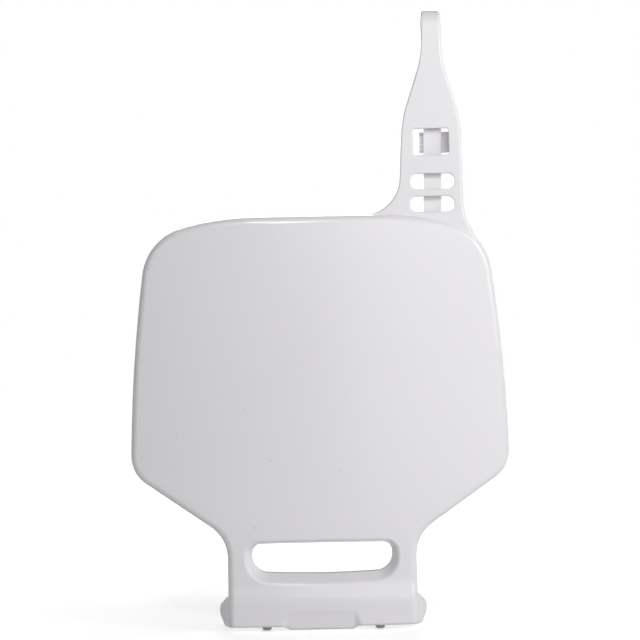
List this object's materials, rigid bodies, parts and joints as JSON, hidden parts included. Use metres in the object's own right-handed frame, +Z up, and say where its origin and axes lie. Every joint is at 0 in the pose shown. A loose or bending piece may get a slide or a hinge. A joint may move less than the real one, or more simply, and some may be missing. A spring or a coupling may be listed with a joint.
{
  "type": "racing number board",
  "caption": "White moulded front number board with a rolled edge, a slotted chin on steel locating pins, and a long strap that folds back through a keeper.",
  "frame": {"origin": "midway between the axes of the two locating pins, on the lower faces of the bosses that hold them", "axes": "+Z up the board, +X to the right of someone who looks at its front, -Y out of its front"},
  "size_m": [0.2418, 0.0369, 0.394],
  "materials": {
    "board": "gloss white moulding",
    "pins": "plain steel"
  },
  "bodies": {
    "root": {"number_board": "board", "locating_pins": "pins"}
  },
  "joints": []
}
